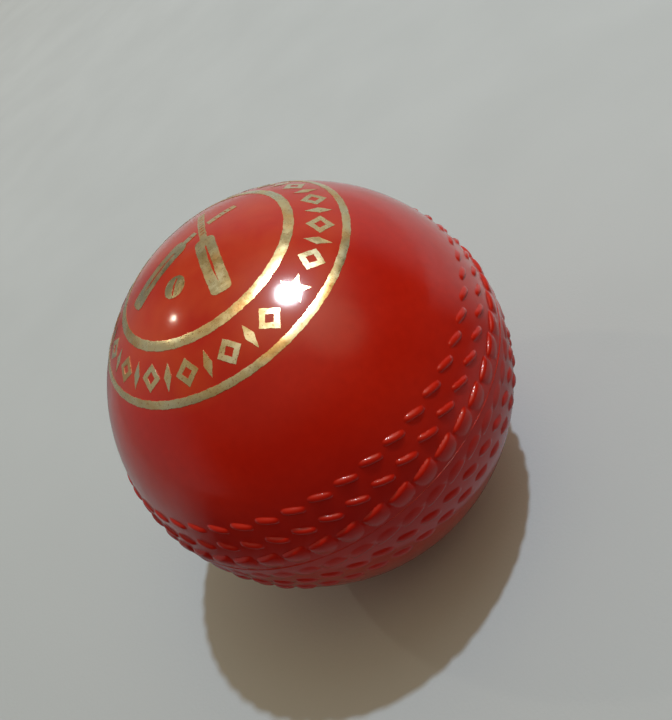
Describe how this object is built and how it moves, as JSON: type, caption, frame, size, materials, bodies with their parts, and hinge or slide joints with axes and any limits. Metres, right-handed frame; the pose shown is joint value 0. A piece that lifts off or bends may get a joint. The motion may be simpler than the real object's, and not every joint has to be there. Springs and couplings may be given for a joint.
{
  "type": "cricket ball",
  "caption": "Glossy red moulded cricket ball with rows of moulded stitches round its seam, a gold foil ring stamp at one pole and a layered cork and yarn core.",
  "frame": {"origin": "centre of the ball, in the plane of the seam", "axes": "+Z through the middle of the foil stamp, at right angles to the seam; the front star of the stamp is 21 degrees round from -Y towards +X"},
  "size_m": [0.0722, 0.0722, 0.0715],
  "materials": {
    "red_cover": "very glossy moulded red PVC, slightly translucent",
    "weld_bead": "glossy red PVC squeezed out at the weld",
    "gold_foil": "hot-stamped champagne gold foil, bright, slightly worn at its edges",
    "yarn": "tightly wound undyed cotton and wool yarn",
    "cork": "agglomerated cork with dark flecks",
    "core_composition": "moulded rubber with cork granules"
  },
  "bodies": {
    "root": {"core_nucleus": "core_composition", "inner_winding": "yarn", "cork_layer_upper": "cork", "cork_layer_lower": "cork", "outer_winding": "yarn", "cover_upper": "red_cover", "cover_lower": "red_cover", "weld_bead": "weld_bead", "foil_ring_inner": "gold_foil", "foil_ring_outer": "gold_foil", "foil_star_front": "gold_foil", "foil_star_rear": "gold_foil", "foil_lozenge_01": "gold_foil", "foil_lozenge_02": "gold_foil", "foil_lozenge_03": "gold_foil", "foil_lozenge_04": "gold_foil", "foil_lozenge_05": "gold_foil", "foil_lozenge_06": "gold_foil", "foil_lozenge_07": "gold_foil", "foil_lozenge_08": "gold_foil", "foil_lozenge_09": "gold_foil", "foil_lozenge_10": "gold_foil", "foil_lozenge_11": "gold_foil", "foil_lozenge_12": "gold_foil", "foil_lozenge_13": "gold_foil", "foil_lozenge_14": "gold_foil", "foil_lozenge_15": "gold_foil", "foil_lozenge_16": "gold_foil", "foil_dart_01": "gold_foil", "foil_dart_02": "gold_foil", "foil_dart_03": "gold_foil", "foil_dart_04": "gold_foil", "foil_dart_05": "gold_foil", "foil_dart_06": "gold_foil", "foil_dart_07": "gold_foil", "foil_dart_08": "gold_foil", "foil_dart_09": "gold_foil", "foil_dart_10": "gold_foil", "foil_dart_11": "gold_foil", "foil_dart_12": "gold_foil", "foil_dart_13": "gold_foil", "foil_dart_14": "gold_foil", "foil_bat_front": "gold_foil", "foil_bat_rear_handle": "gold_foil", "foil_bat_rear_blade": "gold_foil", "foil_ball": "gold_foil"}
  },
  "joints": []
}
